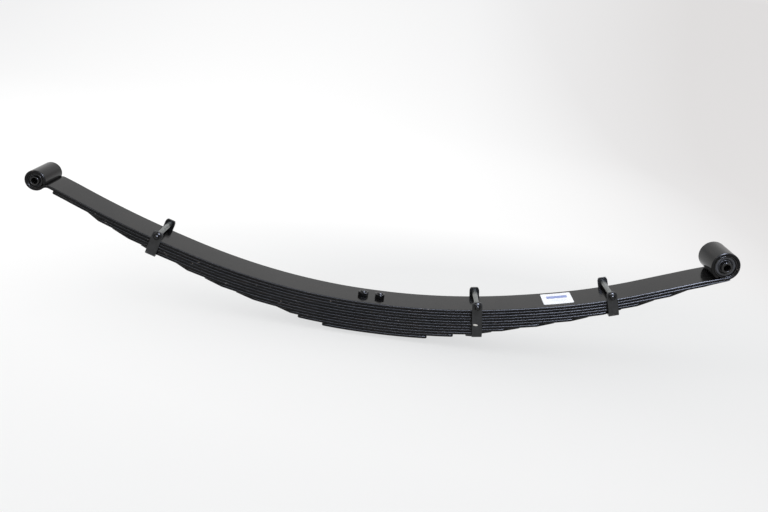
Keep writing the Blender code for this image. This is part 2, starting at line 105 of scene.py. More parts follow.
# Eyes
FRONT_BORE_R = 23.9 * MM
FRONT_ROLL_DEG = 319.0
REAR_BORE_R = 14.9 * MM
REAR_BEND_R = 17.0 * MM
REAR_ROLL_END_DEG = 176.0
BEND_STEPS = 16
WRAP_DEG = 14.0
WRAP_TIP_T = 1.3 * MM
WRAP_TAPER = 46 * MM
WRAP_STEPS = 8

# Fasteners and clips
BOLT_SPACING = 35 * MM
CENTRE_BOLTS = {"rear": (-BOLT_SPACING / 2, 11.0), "front": (BOLT_SPACING / 2, 34.0)}
BOLT_R = 6.0 * MM
BOLT_PITCH = 1.75 * MM
BOLT_THREAD = 4 * MM
BOLT_TOP = 11.0 * MM
BOLT_HEAD_R = 8.5 * MM
BOLT_HEAD_H = 8.0 * MM
BOLT_HOLE_R = 6.6 * MM
NUT_FLATS = 19 * MM
NUT_H = 8.0 * MM
TOUCH = 0.3 * MM
HEX_INSET = 0.35 * MM
HEX_CHAMFER = 0.30
HEX_CUTS = 6
COUNTERSINK = 0.9 * MM
FLANGE_EDGE = 0.3 * MM
THREAD_END = 0.9 * MM
THREAD_CUT = 0.55
THREAD_FLANK = 1.25
THREAD_RINGS = 10

# Clips: side of the centre, lowest leaf held, length of the tab beside the base, and the bolt's turn
CLIPS = {"rear": (-1, 5, 0.0, 17.0), "mid": (1, 9, 12.5 * MM, 40.0), "front": (1, 5, 0.0, 63.0)}
STRAP_W = 21 * MM
STRAP_T = 5 * MM
STRAP_SIDE_GAP = 0.5 * MM
STRAP_BEND_R = 2.0 * MM
STRAP_EDGE = 0.7 * MM
TAB_FROM = 3.5 * MM
TAB_SLOPE = 2.5 * MM
EAR_TOP = 9.3 * MM
EAR_BLUNT = 0.35
EAR_SWEEP_DEG = 84.0
EAR_STEPS = 16
STRAP_BEND_STEPS = 10
EAR_AXIS = 9.5 * MM
EAR_HOLE_R = 4.5 * MM
CLIP_BOLT_R = 4.0 * MM
CLIP_BOLT_PITCH = 1.25 * MM
CLIP_NUT_FLATS = 13 * MM
CLIP_NUT_H = 5.0 * MM
CLIP_FLANGE_R = 8.4 * MM
CLIP_FLANGE_T = 1.2 * MM
CLIP_HEAD_H = 5.3 * MM
CLIP_BOLT_TAIL = 1.6 * MM
SPACER_R = 5.1 * MM
SPACER_BORE_R = 4.3 * MM
RIVET_R = 3.6 * MM
RIVET_HOLE_R = 4.0 * MM
RIVET_HEAD_R = 6.5 * MM
RIVET_HEAD_H = 2.6 * MM
RIVET_STEPS = 8

# Bushings: outer and inner radii of shell, rubber and sleeve, and how far their edges are rounded
FRONT_BUSH = (23.4 * MM, 21.5 * MM, 21.2 * MM, 11.7 * MM, 11.4 * MM, 7.3 * MM)
REAR_BUSH = (14.4 * MM, 13.0 * MM, 12.7 * MM, 8.9 * MM, 8.6 * MM, 6.4 * MM)
SHELL_HALF = 37.2 * MM
RUBBER_HALF = 35.0 * MM
RUBBER_GROOVE = 3.0 * MM
SHELL_ROUND = 0.5 * MM
RUBBER_ROUND = 0.7 * MM
SLEEVE_ROUND = 0.6 * MM
SLEEVE_HALF = {"front": 44.0 * MM, "rear": 40.0 * MM}
TURN_STEPS = 96
HOLE_STEPS = 48
ROUND_STEPS = 4

# Label
LABEL_FROM = 362.5 * MM
LABEL_LENGTH = 63 * MM
LABEL_W = 54 * MM
LABEL_Y = 2 * MM
LABEL_T = 0.3 * MM
LABEL_LIFT = 0.25 * MM
LABEL_CORNER = 2.0 * MM
LABEL_STEPS = 44

# Colours of the paints, plates and rubber, dark and light, as linear red, green and blue
ENAMEL = ((0.0018, 0.0018, 0.0022), (0.0065, 0.006, 0.006))
WARM_ENAMEL = (0.010, 0.0065, 0.0055)
CHIPPED = (0.16, 0.14, 0.13)
SATIN = ((0.003, 0.0035, 0.004), (0.017, 0.018, 0.019))
SCUFFED = (0.07, 0.068, 0.065)
BARE_STEEL = (0.62, 0.61, 0.58)
OXIDE = ((0.0015, 0.0015, 0.002), (0.007, 0.0065, 0.0065))
DIPPED = ((0.004, 0.004, 0.004), (0.038, 0.035, 0.032))
ZINC = ((0.09, 0.095, 0.09), (0.22, 0.23, 0.22))
RUBBER = ((0.008, 0.008, 0.009), (0.022, 0.022, 0.022))
STICKER = ((0.95, 0.97, 1.0), (0.88, 0.92, 0.98))
STICKER_LINES = (0.36, 0.46, 0.78)
STICKER_BAND = (0.22, 0.29, 0.62)

# How strongly each finish mirrors its surroundings
ENAMEL_GLOSS = 0.16
SATIN_GLOSS = 0.4
OXIDE_GLOSS = 0.35
DIPPED_GLOSS = 0.4

# The rubbed place beside the middle clip, and the bare place on that clip's near side, below the top line
RUBBED_X = 112 * MM
RUBBED_REACH = (24 * MM, 3 * MM, 4 * MM)
BARE_DROP = 31 * MM
BARE_REACH = (6.5 * MM, 8 * MM, 2.6 * MM)

# Camera: where it stands, the point it looks at, how far it is rolled, and its lens
CAMERA_PLACE = Vector((-0.0018, -1.4898, 0.7045))
CAMERA_AIM = Vector((0.0637, 0.0, 0.2655))
CAMERA_ROLL_DEG = 8.76
CAMERA_LENS = 35.66
CAMERA_SHIFT = (-0.0401, -0.0578)
SENSOR_W = 36.0
VIEW_END = 200.0

# Studio: the sheet's reach, and how bright the surroundings are low and high
FLOOR_FRONT = 5.0
FLOOR_BACK = 2.2
SWEEP_R = 1.2
SWEEP_STEPS = 32
WALL_TOP = 4.0
FLOOR_WIDTH = 6.0
WORLD_LOW = 0.5
WORLD_HIGH = 0.95
WORLD_FROM = -0.2

# Glow of the sheet: all over, to the right, round the middle, in front, as a painted shadow under the spring,
# and overhead
SHEET_PAPER = ((0.20, 0.20, 0.20), (0.205, 0.205, 0.205))
SHEET_GLOW = (0.70, 0.70, 0.705)
RIGHT_GLOW = (0.575, 0.562, 0.56)
MIDDLE_GLOW = (0.82, 0.82, 0.82)
FRONT_GLOW = (0.665, 0.67, 0.675)
SHADE_GLOW = (0.645, 0.65, 0.655)
ABOVE_GLOW = (1.02, 1.02, 1.02)
RIGHT_SPAN = (0.35, 1.7)
FRONT_SPAN = (0.3, -0.9)
ABOVE_SPAN = (0.9, 1.5)
MIDDLE_AT = (-0.6, 1.3, 0.0)
MIDDLE_REACH = (2.0, 2.9, 2.2)
SHADE_AT = (0.38, 0.18, 0.0)
SHADE_REACH = (1.25, 0.65, 1.0)

# Lights: place, aim, size, power, colour, and whether the light also falls on matt surfaces
LIGHTS = {
    "soft_left": ((-2.2, -1.0, 2.4), (0.0, 0.0, 0.1), (1.8, 1.8), 30.0, (1.0, 0.99, 0.97), True),
    "cool_strip": ((0.6, -0.75, 1.6), (0.6, -0.35, 0.15), (0.5, 2.3), 290.0, (0.72, 0.79, 1.0), False),
    "glint_left": ((-0.35, -0.95, 1.35), (0.1, 0.0, 0.15), (0.55, 0.4), 9.0, (0.93, 0.96, 1.0), False),
}

# Faces meeting at more than SHARP keep a hard edge, and strap edges over EDGE_ANGLE are bevelled
SHARP = math.radians(35)
EDGE_ANGLE = math.radians(40)


# ---------------------------------------------------------------- curve of the pack

def top_line(side, s):
    """Point and slope of the main leaf's top face at distance s outwards from the centre."""
    x, z, a = 0.0, 0.0, 0.0
    for length, radius in (FRONT_RUNS if side > 0 else REAR_RUNS):
        d = min(s, length)
        if radius:
            b = a + d / radius
            x += radius * (math.sin(b) - math.sin(a))
            z += radius * (math.cos(a) - math.cos(b))
            a = b
        else:
            x += d * math.cos(a)
            z += d * math.sin(a)
        s -= d
        if s <= 0.0:
            break
    return x, z, a


def run_length(side):
    """Whole length of the main leaf's line on one side of the centre."""
    return sum(length for length, radius in (FRONT_RUNS if side > 0 else REAR_RUNS))


def curve_frame(side, s):
    """Top point and upward normal, as (x, z, nx, nz), easing into the level seat between the bolts."""
    level = top_line(side, SEAT_HALF)[1] - SEAT_RISE
    ease = 2 * SEAT_HALF
    if s < ease:
        x, z, a = top_line(side, ease)
        rise = z - level
        power = a * ease / rise - 1
        share = s / ease
        z = rise * share ** (power + 1)
        a *= share ** power
        x *= share
    else:
        x, z, a = top_line(side, s)
        z -= level
    return x * side, STACK + z, -math.sin(a) * side, math.cos(a)


def at_depth(place, depth):
    """World x and z at a depth below the main leaf's top face."""
    x, z, nx, nz = place
    return x - nx * depth, z - nz * depth


def distance_for(side, x, depth):
    """Distance along the top line at which a given depth reaches x."""
    low, high = 0.0, run_length(side)
    for _ in range(HALVINGS):
        middle = 0.5 * (low + high)
        if abs(at_depth(curve_frame(side, middle), depth)[0]) < abs(x):
            low = middle
        else:
            high = middle
    return 0.5 * (low + high)


def front_roll(count, degrees):
    """Frames round the front eye; the leaf's top face becomes the bore."""
    x, z, nx, nz = curve_frame(1, run_length(1))
    cx, cz = x + nx * FRONT_BORE_R, z + nz * FRONT_BORE_R
    start = math.atan2(-nz, -nx)
    frames = []
    for i in range(1, count + 1):
        a = start + math.radians(degrees) * i / count
        ux, uz = math.cos(a), math.sin(a)
        frames.append((cx + FRONT_BORE_R * ux, cz + FRONT_BORE_R * uz, -ux, -uz))
    return frames


def rear_roll():
    """Frames through the dip before the rear eye and round its roll."""
    x, z, nx, nz = curve_frame(-1, run_length(-1))
    tx, tz = -nz, nx
    drop = LEAF_T / 2
    span = REAR_BEND_R + REAR_BORE_R
    ahead = math.sqrt(span ** 2 - (REAR_BEND_R - drop) ** 2)
    cx, cz = x + tx * ahead - nx * drop, z + tz * ahead - nz * drop
    bx, bz = x - nx * REAR_BEND_R, z - nz * REAR_BEND_R
    turn = math.atan2(ahead, REAR_BEND_R - drop)
    frames = []
    for i in range(1, BEND_STEPS + 1):
        a = turn * i / BEND_STEPS
        ux = tx * math.sin(a) + nx * math.cos(a)
        uz = tz * math.sin(a) + nz * math.cos(a)
        frames.append((bx + REAR_BEND_R * ux, bz + REAR_BEND_R * uz, ux, uz))
    start = math.atan2(-(REAR_BEND_R - drop) / span, -ahead / span)
    end = math.radians(REAR_ROLL_END_DEG)
    for i in range(1, TURN_STEPS + 1):
        a = start + (end - start) * i / TURN_STEPS
        ux = tx * math.cos(a) + nx * math.sin(a)
        uz = tz * math.cos(a) + nz * math.sin(a)
        frames.append((cx + REAR_BORE_R * ux, cz + REAR_BORE_R * uz, -ux, -uz))
    return frames


# ---------------------------------------------------------------- mesh helpers

def loft(rings, joined=False):
    """Closed solid through rings of points; joined makes it a loop of rings instead of capping its ends."""
    bm = bmesh.new()
    rows = [[bm.verts.new(p) for p in ring] for ring in rings]
    pairs = list(zip(rows, rows[1:]))
    if joined:
        pairs.append((rows[-1], rows[0]))
    for ring, after in pairs:
        for i in range(len(ring)):
            j = (i + 1) % len(ring)
            bm.faces.new((ring[i], ring[j], after[j], after[i]))
    if not joined:
        bm.faces.new(rows[0])
        bm.faces.new(rows[-1])
    return bm


def piece(name, bm, mat, node, body=PACK):
    """Turn a bmesh into a smooth shaded piece that rides on a body and stands for a CAD node."""
    bmesh.ops.recalc_face_normals(bm, faces=bm.faces)
    mesh = bpy.data.meshes.new(name)
    bm.to_mesh(mesh)
    bm.free()
    mesh.shade_smooth()
    mesh.set_sharp_from_angle(angle=SHARP)
    mesh.materials.append(mat)
    ob = bpy.data.objects.new(name, mesh)
    bpy.context.scene.collection.objects.link(ob)
    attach(ob, body)
    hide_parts(node)
    return ob


def circle(radius, level, steps=TURN_STEPS):
    """One ring about Z."""
    return [
        (radius * math.cos(2 * math.pi * i / steps), radius * math.sin(2 * math.pi * i / steps), level)
        for i in range(steps)
    ]


def turned(profile):
    """Ring shaped solid turned about Z from a closed outline of (radius, level) points."""
    return loft([circle(radius, level) for radius, level in profile], joined=True)


def disc(radius, low, high):
    """Solid round about Z, for cutting holes."""
    bm = loft([circle(radius, level, HOLE_STEPS) for level in (low, high)])
    bmesh.ops.recalc_face_normals(bm, faces=bm.faces)
    return bm


def rounded(points, radius):
    """A closed outline of (radius, level) corners with each convex corner rounded off."""
    out = []
    count = len(points)
    for k, here in enumerate(points):
        p = Vector(here)
        before = (Vector(points[k - 1]) - p)
        after = (Vector(points[(k + 1) % count]) - p)
        reach = min(radius, 0.45 * before.length, 0.45 * after.length)
        a = p + before.normalized() * reach
        b = p + after.normalized() * reach
        for i in range(ROUND_STEPS + 1):
            t = i / ROUND_STEPS
            q = a * (1 - t) ** 2 + p * (2 * t * (1 - t)) + b * t ** 2
            out.append((q.x, q.y))
    return out


# ---------------------------------------------------------------- leaves

def leaf_section(half, top, bottom, slip):
    """Corners of a flat bar with rolled round edges, and a support point beside each rounding."""
    r = min(CORNER_R, 0.45 * (bottom - top))
    out = []
    corners = (
        (half - r, top + r, -90), (half - r, bottom - r, 0),
        (-half + r, bottom - r, 90), (-half + r, top + r, 180),
    )
    for cy, cd, start in corners:
        arc = []
        for i in range(CORNER_STEPS + 1):
            a = math.radians(start + 90 * i / CORNER_STEPS)
            arc.append((cy + r * math.cos(a), cd + r * math.sin(a)))
        if start == -90:
            arc.insert(0, (cy - SUPPORT, top))
        elif start == 0:
            arc.append((cy - SUPPORT, bottom))
        elif start == 90:
            arc.insert(0, (cy + SUPPORT, bottom))
        else:
            arc.append((cy + SUPPORT, top))
        out += arc
    return [(y + slip, depth) for y, depth in out]


def leaf_solid(stations, slip):
    """Bar through stations of (frame, half width, top depth, bottom depth)."""
    rings = []
    for place, half, top, bottom in stations:
        ring = []
        for y, depth in leaf_section(half, top, bottom, slip):
            x, z = at_depth(place, depth)
            ring.append((x, y, z))
        rings.append(ring)
    return loft(rings)


def outward(side, end, half, top, bottom):
    """Full width stations from the centre to a distance, without the end itself."""
    count = max(2, round(end / FINE_STEP))
    return [(curve_frame(side, end * i / count), half, top, bottom) for i in range(1, count)]


def rounded_end(side, reach, half, top, bottom):
    """Stations that round a leaf's sheared end off."""
    out = []
    for degrees in END_DEGREES:
        a = math.radians(degrees)
        inset = END_R * (1 - math.cos(a))
        place = curve_frame(side, reach - END_R + END_R * math.sin(a))
        out.append((place, half - inset, top + inset, bottom - inset))
    return out


def arm(side, reach, top, bottom, tip_half, trim):
    """Stations from the centre to a trimmed tip."""
    half = LEAF_W / 2
    stations = outward(side, reach - trim, half, top, bottom)
    steps = max(2, round(trim / FINE_STEP))
    for i in range(steps):
        t = i / steps
        place = curve_frame(side, reach - END_R - (trim - END_R) * (1 - t))
        stations.append((place, half + (tip_half - half) * t, top, bottom))
    return stations + rounded_end(side, reach, tip_half, top, bottom)


def bare_end(frames, half, top, bottom):
    """Round off the sheared end of a roll whose last frame is given."""
    (x0, z0, _, _), last = frames[-2], frames[-1]
    x, z, nx, nz = last
    along = Vector((x - x0, z - z0)).normalized()
    out = []
    for degrees in END_DEGREES[1:]:
        a = math.radians(degrees)
        inset = END_R * (1 - math.cos(a))
        place = (x + along.x * END_R * math.sin(a), z + along.y * END_R * math.sin(a), nx, nz)
        out.append((place, half - inset, top + inset, bottom - inset))
    return out


def drill(ob, holes):
    """Cut round holes, given as (matrix, radius, low, high), through a piece and apply the cut."""
    bm = bmesh.new()
    for matrix, radius, low, high in holes:
        part = disc(radius, low, high)
        part.transform(matrix)
        mesh = bpy.data.meshes.new("hole")
        part.to_mesh(mesh)
        part.free()
        bm.from_mesh(mesh)
        bpy.data.meshes.remove(mesh)
    mesh = bpy.data.meshes.new("drill")
    bm.to_mesh(mesh)
    bm.free()
    cutter = bpy.data.objects.new("drill", mesh)
    bpy.context.scene.collection.objects.link(cutter)
    boolean = ob.modifiers.new("holes", "BOOLEAN")
    boolean.operation = "DIFFERENCE"
    boolean.solver = "EXACT"
    boolean.object = cutter
    bpy.context.view_layer.update()
    baked = bpy.data.meshes.new_from_object(ob.evaluated_get(bpy.context.evaluated_depsgraph_get()))
    ob.modifiers.clear()
    old = ob.data
    ob.data = baked
    bpy.data.meshes.remove(old)
    bpy.data.objects.remove(cutter)
    ob.data.shade_smooth()
    ob.data.set_sharp_from_angle(angle=SHARP)


def centre_holes(leaf):
    """Where the two centre bolts pass through a leaf."""
    top = STACK - (leaf - 1) * PITCH + MM
    low = STACK - leaf * PITCH - MM
    return [(Matrix.Translation((x, 0, 0)), BOLT_HOLE_R, low, top) for x, turn in CENTRE_BOLTS.values()]


def seat_station(top, bottom):
    """The station at the centre of the pack."""
    return [((0.0, STACK, 0.0, 1.0), LEAF_W / 2, top, bottom)]


def build_main_leaf(paint):
    """The main leaf, rolled up into an eye at each end."""
    half = LEAF_W / 2
    rear = outward(-1, run_length(-1), half, 0.0, LEAF_T)
    rear.append((curve_frame(-1, run_length(-1)), half, 0.0, LEAF_T))
    rolled = rear_roll()
    rear += [(place, half, 0.0, LEAF_T) for place in rolled] + bare_end(rolled, half, 0.0, LEAF_T)
    front = outward(1, run_length(1), half, 0.0, LEAF_T)
    front.append((curve_frame(1, run_length(1)), half, 0.0, LEAF_T))
    rolled = front_roll(TURN_STEPS, FRONT_ROLL_DEG)
    front += [(place, half, 0.0, LEAF_T) for place in rolled] + bare_end(rolled, half, 0.0, LEAF_T)
    bm = leaf_solid(rear[::-1] + seat_station(0.0, LEAF_T) + front, 0.0)
    main_leaf = piece("main_leaf", bm, paint, "leaf_01_main")
    drill(main_leaf, centre_holes(1))


def build_wrapper_leaf(paint):
    """The second leaf, square at the rear and tapering away round the underside of the front eye."""
    half = LEAF_W / 2
    top, bottom = PITCH, PITCH + LEAF_T
    slip = SIDE_SLIP[1] * MM
    low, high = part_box("leaf_02_wrapper")
    reach = distance_for(-1, low.x, bottom)
    rear = arm(-1, reach, top, bottom, SQUARE_TIP_HALF, SQUARE_TRIM)
    end = run_length(1)
    front = outward(1, end - WRAP_TAPER, half, top, bottom)
    arc = math.radians(WRAP_DEG) * (FRONT_BORE_R + bottom)
    taper = WRAP_TAPER + arc
    for i in range(WRAP_STEPS + 1):
        thinner = (LEAF_T - WRAP_TIP_T) * (WRAP_TAPER / taper) * i / WRAP_STEPS
        place = curve_frame(1, end - WRAP_TAPER * (1 - i / WRAP_STEPS))
        front.append((place, half, top, bottom - thinner))
    wrapped = front_roll(WRAP_STEPS, WRAP_DEG)
    for i, place in enumerate(wrapped):
        thinner = (LEAF_T - WRAP_TIP_T) * (WRAP_TAPER + arc * (i + 1) / WRAP_STEPS) / taper
        front.append((place, half, top, bottom - thinner))
    bm = leaf_solid(rear[::-1] + seat_station(top, bottom) + front, slip)
    wrapper = piece("wrapper_leaf", bm, paint, "leaf_02_wrapper")
    drill(wrapper, centre_holes(2))


def build_graduated_leaves(paint):
    """The nine leaves below, each shorter than the one above."""
    for leaf, (rear_half, front_half) in TIP_HALF.items():
        node = f"leaf_{leaf:02d}"
        top = (leaf - 1) * PITCH
        bottom = top + LEAF_T
        trim = TRIM_LENGTH if leaf < LEAF_COUNT - 1 else SQUARE_TRIM
        low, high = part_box(node)
        rear = arm(-1, distance_for(-1, low.x, bottom), top, bottom, rear_half, trim)
        front = arm(1, distance_for(1, high.x, bottom), top, bottom, front_half, trim)
        bm = leaf_solid(rear[::-1] + seat_station(top, bottom) + front, SIDE_SLIP[leaf - 1] * MM)
        ob = piece(f"graduated_leaf_{leaf:02d}", bm, paint, node)
        drill(ob, centre_holes(leaf))


# ---------------------------------------------------------------- fasteners

def hex_reach(a, flats):
    """Distance from the axis to a hexagon's side in direction a."""
    return flats / 2 / math.cos((a % (math.pi / 3)) - math.pi / 6)


def hex_rings(flats, low, high, chamfer_low, chamfer_high):
    """Rings of a hexagon prism whose corners are turned down to a cone at its ends."""
    corner = flats / math.sqrt(3)
    rise = corner - flats / 2
    depth = HEX_CHAMFER * rise + HEX_INSET
    levels = []
    for i in range(HEX_CUTS + 1):
        levels.append((low + depth * i / HEX_CUTS, chamfer_low))
    for i in range(HEX_CUTS + 1):
        levels.append((high - depth * (1 - i / HEX_CUTS), chamfer_high))
    rings = []
    for level, chamfered in levels:
        ring = []
        edge = min(level - low, high - level)
        cone = flats / 2 - HEX_INSET + edge * (rise + HEX_INSET) / depth if chamfered else corner
        for i in range(TURN_STEPS):
            a = 2 * math.pi * i / TURN_STEPS
            reach = min(hex_reach(a, flats), cone)
            ring.append((reach * math.cos(a), reach * math.sin(a), level))
        rings.append(ring)
    return rings


def nut_solid(flats, height, bore, flange=0.0):
    """Chamfered hexagon nut about Z standing on zero, with a countersunk bore and perhaps a round flange."""
    rings = hex_rings(flats, 0.0, height, True, True)
    if flange:
        lip = CLIP_FLANGE_T
        hex_from = lip + 0.5 * MM
        rings = [circle(flange - FLANGE_EDGE, 0.0), circle(flange, FLANGE_EDGE), circle(flange, 0.5 * lip)]
        rings += [circle(flange - FLANGE_EDGE, 0.8 * lip), circle(0.56 * flats, hex_from)]
        rings += hex_rings(flats, hex_from, height, False, True)
    rings.append(circle(bore + COUNTERSINK, height))
    rings.append(circle(bore, height - COUNTERSINK))
    rings.append(circle(bore, COUNTERSINK))
    rings.append(circle(bore + COUNTERSINK, 0.0))
    return loft(rings, joined=True)


def thread_rings(radius, pitch, low, high):
    """Rings of a helical thread about Z between two levels, running out at its end."""
    depth = THREAD_CUT * pitch
    count = max(4, round((high - low) / (pitch / THREAD_RINGS)))
    rings = []
    for k in range(count + 1):
        level = low + (high - low) * k / count
        fade = min(1.0, (level - low) / pitch)
        end_cone = radius - max(0.0, THREAD_END - (high - level))
        ring = []
        for i in range(TURN_STEPS):
            a = 2 * math.pi * i / TURN_STEPS
            phase = (level / pitch - i / TURN_STEPS) % 1.0
            cut = depth * max(0.0, 1 - abs(2 * phase - 1) * THREAD_FLANK) * fade
            reach = min(radius - cut, end_cone)
            ring.append((reach * math.cos(a), reach * math.sin(a), level))
        rings.append(ring)
    return rings


def build_centre_bolts(oxide):
    """Two bolts with round locating heads under the pack, and their nuts on the main leaf."""
    for name, (x, degrees) in CENTRE_BOLTS.items():
        place = Matrix.Translation((x, 0.0, 0.0))
        under = -TOUCH - BOLT_HEAD_H

        # the head with its rounded lower edge and broken upper edge, then the shank and its thread
        rings = [circle(0.6 * BOLT_HEAD_R, under), circle(BOLT_HEAD_R - MM, under)]
        rings += [circle(BOLT_HEAD_R - 0.3 * MM, under + 0.35 * MM), circle(BOLT_HEAD_R, under + MM)]
        rings += [circle(BOLT_HEAD_R, -TOUCH - 0.4 * MM), circle(BOLT_HEAD_R - 0.4 * MM, -TOUCH)]
        rings += [circle(BOLT_R + 0.2 * MM, -TOUCH), circle(BOLT_R, 0.0)]
        rings += thread_rings(BOLT_R, BOLT_PITCH, STACK - BOLT_THREAD, STACK + BOLT_TOP)
        bm = loft(rings)
        bm.transform(place)
        piece(f"centre_bolt_{name}_piece", bm, oxide, f"centre_bolt_{name}")
        turn = Matrix.Rotation(math.radians(degrees), 4, "Z")
        bm = nut_solid(NUT_FLATS, NUT_H, BOLT_R + TOUCH)
        bm.transform(Matrix.Translation((x, 0.0, STACK + TOUCH)) @ turn)
        piece(f"centre_nut_{name}_piece", bm, oxide, f"centre_nut_{name}")


# ---------------------------------------------------------------- clips

def clip_frame(name, side):
    """Matrix at a clip: X along the leaf, Y across it, Z up its normal, origin on the main leaf's top."""
    low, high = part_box(f"clip_{name}_spacer")
    axis = (low + high) / 2
    s = distance_for(side, axis.x, -EAR_AXIS)
    nx, nz = curve_frame(side, s)[2:]
    up = Vector((nx, 0.0, nz))
    along = Vector((nz, 0.0, -nx))
    matrix = Matrix((along, (0.0, 1.0, 0.0), up)).transposed().to_4x4()
    matrix.translation = Vector((axis.x, 0.0, axis.z)) - up * EAR_AXIS
    return matrix


def strap_path(depth, tab):
    """Stations of a bent strap from ear to ear: middle (y, z), outward (y, z), and the two half widths."""
    inner_y = LEAF_W / 2 + STRAP_SIDE_GAP
    inner_z = -depth - TOUCH
    half = STRAP_W / 2
    near = []
    for i in range(EAR_STEPS + 1):
        a = math.radians(EAR_SWEEP_DEG * (1 - i / EAR_STEPS))
        near.append((EAR_AXIS + EAR_TOP * math.sin(a), half * math.cos(a) ** EAR_BLUNT))
    near.append((EAR_AXIS - EAR_TOP, half))
    side = [((-inner_y - STRAP_T / 2, z), (-1.0, 0.0), w, w) for z, w in near]
    bend = STRAP_BEND_R + STRAP_T / 2
    for i in range(STRAP_BEND_STEPS + 1):
        a = math.radians(180 + 90 * i / STRAP_BEND_STEPS)
        oy, oz = math.cos(a), math.sin(a)
        middle = (-inner_y + STRAP_BEND_R + bend * oy, inner_z + STRAP_BEND_R + bend * oz)
        side.append((middle, (oy, oz), half, half))
    base = inner_z - STRAP_T / 2
    if tab:
        side.append(((-inner_y + TAB_FROM, base), (0.0, -1.0), half, half))
        side.append(((-inner_y + TAB_FROM + TAB_SLOPE, base), (0.0, -1.0), half + tab, half))
    mirrored = [((-y, z), (-oy, oz), w0, w1) for (y, z), (oy, oz), w0, w1 in reversed(side)]
    return side + mirrored


def build_strap(name, matrix, depth, tab, paint):
    """A clip strap bent from flat bar, with blunt ears, holes and softened edges."""
    rings = []
    for (y, z), (oy, oz), rearward, forward in strap_path(depth, tab):
        ring = []
        for sx, so in ((-rearward, 0.5), (forward, 0.5), (forward, -0.5), (-rearward, -0.5)):
            ring.append((sx, y + oy * so * STRAP_T, z + oz * so * STRAP_T))
        rings.append(ring)
    bm = loft(rings)
    bm.transform(matrix)
    ob = piece(f"clip_strap_{name}", bm, paint, f"clip_{name}_strap")
    wide = LEAF_W / 2 + 10 * MM
    axis = matrix @ Matrix.Translation((0, 0, EAR_AXIS)) @ Matrix.Rotation(math.radians(90), 4, "X")
    drill(ob, [(axis, EAR_HOLE_R, -wide, wide), (matrix, RIVET_HOLE_R, -depth - 8 * MM, -depth + MM)])
    bevel = ob.modifiers.new("edges", "BEVEL")
    bevel.width = STRAP_EDGE
    bevel.segments = 3
    bevel.limit_method = "ANGLE"
    bevel.angle_limit = EDGE_ANGLE
    bevel.harden_normals = True
    bevel.use_clamp_overlap = False


def clip_bolt(name, spin, turn, oxide):
    """The bolt across the ears: hexagon head on the far side, thread on the near side."""
    outer_y = LEAF_W / 2 + STRAP_SIDE_GAP + STRAP_T
    head = -outer_y - TOUCH
    under = head - 0.3 * MM
    washer = 0.48 * CLIP_NUT_FLATS
    tail = outer_y + TOUCH + CLIP_NUT_H + CLIP_BOLT_TAIL
    rings = [circle(0.2 * CLIP_NUT_FLATS, head - CLIP_HEAD_H)]
    rings += hex_rings(CLIP_NUT_FLATS, head - CLIP_HEAD_H, under, True, False)
    rings += [circle(washer, under), circle(washer, head)]
    rings += [circle(CLIP_BOLT_R, head), circle(CLIP_BOLT_R, outer_y - 6 * MM)]
    rings += thread_rings(CLIP_BOLT_R, CLIP_BOLT_PITCH, outer_y - 5 * MM, tail)
    bm = loft(rings)
    bm.transform(spin @ turn)
    piece(f"clip_bolt_{name}", bm, oxide, f"clip_{name}_bolt")


def clip_nut(name, spin, turn, oxide):
    """The flanged nut on the near ear."""
    outer_y = LEAF_W / 2 + STRAP_SIDE_GAP + STRAP_T
    bm = nut_solid(CLIP_NUT_FLATS, CLIP_NUT_H, CLIP_BOLT_R + TOUCH, CLIP_FLANGE_R)
    bm.transform(spin @ Matrix.Translation((0.0, 0.0, outer_y + TOUCH)) @ turn)
    piece(f"clip_nut_{name}", bm, oxide, f"clip_{name}_nut")


def clip_spacer(name, spin, steel):
    """The tube on the bolt between the ears."""
    long = LEAF_W / 2 + STRAP_SIDE_GAP - TOUCH
    tube = [(SPACER_BORE_R, -long), (SPACER_R, -long), (SPACER_R, long), (SPACER_BORE_R, long)]
    bm = turned(rounded(tube, 0.35 * MM))
    bm.transform(spin)
    piece(f"clip_spacer_{name}", bm, steel, f"clip_{name}_spacer")


def clip_rivet(name, matrix, depth, oxide):
    """The rivet through the strap's base into the lowest leaf that the clip holds."""
    base = -depth - TOUCH - STRAP_T - TOUCH
    rings = []
    for i in range(RIVET_STEPS + 1):
        a = math.radians(4 + 80 * i / RIVET_STEPS)
        rings.append(circle(RIVET_HEAD_R * math.sin(a), base - RIVET_HEAD_H * math.cos(a) ** 0.8))
    rings += [circle(RIVET_HEAD_R, base - 0.1 * MM), circle(RIVET_HEAD_R - 0.1 * MM, base)]
    rings += [circle(RIVET_R, base), circle(RIVET_R, -depth + LEAF_T - 0.6 * MM)]
    bm = loft(rings)
    bm.transform(matrix)
    piece(f"clip_rivet_{name}", bm, oxide, f"clip_{name}_rivet")


def build_clips(paint, oxide, steel):
    """Three clips: strap, bolt, nut, spacer tube and rivet each."""
    for name, (side, leaf, tab, degrees) in CLIPS.items():
        matrix = clip_frame(name, side)
        depth = leaf * PITCH - TOUCH
        build_strap(name, matrix, depth, tab, paint)

        # about the bolt's own axis: Z runs from the far side to the near side
        spin = matrix @ Matrix.Translation((0.0, 0.0, EAR_AXIS)) @ Matrix.Rotation(math.radians(90), 4, "X")
        turn = Matrix.Rotation(math.radians(degrees), 4, "Z")
        clip_bolt(name, spin, turn, oxide)
        clip_nut(name, spin, turn, oxide)
        clip_spacer(name, spin, steel)
        clip_rivet(name, matrix, depth, oxide)


# ---------------------------------------------------------------- bushings and label

def tube_outline(inner, outer, half, radius):
    """Outline of a plain tube with rounded edges."""
    return rounded([(inner, -half), (outer, -half), (outer, half), (inner, half)], radius)


